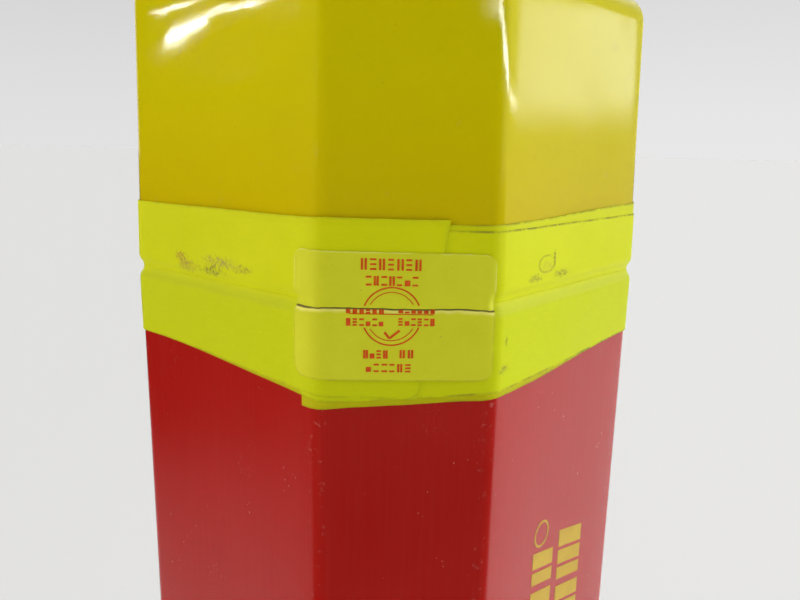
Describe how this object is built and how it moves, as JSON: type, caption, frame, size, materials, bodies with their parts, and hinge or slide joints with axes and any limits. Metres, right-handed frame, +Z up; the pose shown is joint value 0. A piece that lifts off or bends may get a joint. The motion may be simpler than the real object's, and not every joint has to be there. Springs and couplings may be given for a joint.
{
  "type": "electrode canister",
  "caption": "Tall square plastic canister with chamfered corners and a deep slip-over cap, taped and sealed at the seam, holding coated welding electrodes.",
  "frame": {"origin": "middle of the base, on the surface it stands on", "axes": "+Z up along the canister; -Y is the front, the narrow face that carries the seal"},
  "size_m": [0.0714, 0.0721, 0.366],
  "materials": {
    "red_plastic": "satin moulded plastic, faded and finely scratched",
    "yellow_plastic": "glossy moulded plastic",
    "tape_film": "fluorescent adhesive film, slightly translucent",
    "seal_paper": "matt paper with a plain printed mark",
    "pad_board": "fibre board",
    "electrode_coating": "baked mineral coating over bright steel wire"
  },
  "bodies": {
    "container": {"container_body": "red_plastic", "base_pad": "pad_board", "tape_lower": "tape_film", "seal_lower": "seal_paper", "electrode_01": "electrode_coating", "electrode_02": "electrode_coating", "electrode_03": "electrode_coating", "electrode_04": "electrode_coating", "electrode_05": "electrode_coating", "electrode_06": "electrode_coating", "electrode_07": "electrode_coating", "electrode_08": "electrode_coating", "electrode_09": "electrode_coating", "electrode_10": "electrode_coating", "electrode_11": "electrode_coating", "electrode_12": "electrode_coating", "electrode_13": "electrode_coating", "electrode_14": "electrode_coating", "electrode_15": "electrode_coating", "electrode_16": "electrode_coating", "electrode_17": "electrode_coating", "electrode_18": "electrode_coating", "electrode_19": "electrode_coating", "electrode_20": "electrode_coating", "electrode_21": "electrode_coating", "electrode_22": "electrode_coating", "electrode_23": "electrode_coating", "electrode_24": "electrode_coating", "electrode_25": "electrode_coating", "electrode_26": "electrode_coating", "electrode_27": "electrode_coating", "electrode_28": "electrode_coating", "electrode_29": "electrode_coating", "electrode_30": "electrode_coating", "electrode_31": "electrode_coating", "electrode_32": "electrode_coating", "electrode_33": "electrode_coating", "electrode_34": "electrode_coating", "electrode_35": "electrode_coating", "electrode_36": "electrode_coating", "electrode_37": "electrode_coating", "electrode_38": "electrode_coating"},
    "cap": {"cap": "yellow_plastic", "tape_upper": "tape_film", "seal_upper": "seal_paper"}
  },
  "joints": [
    {"name": "cap_lift", "type": "slide", "parent": "container", "child": "cap", "axis": [0, 0, 1], "range_m": [0, 0.08]}
  ]
}
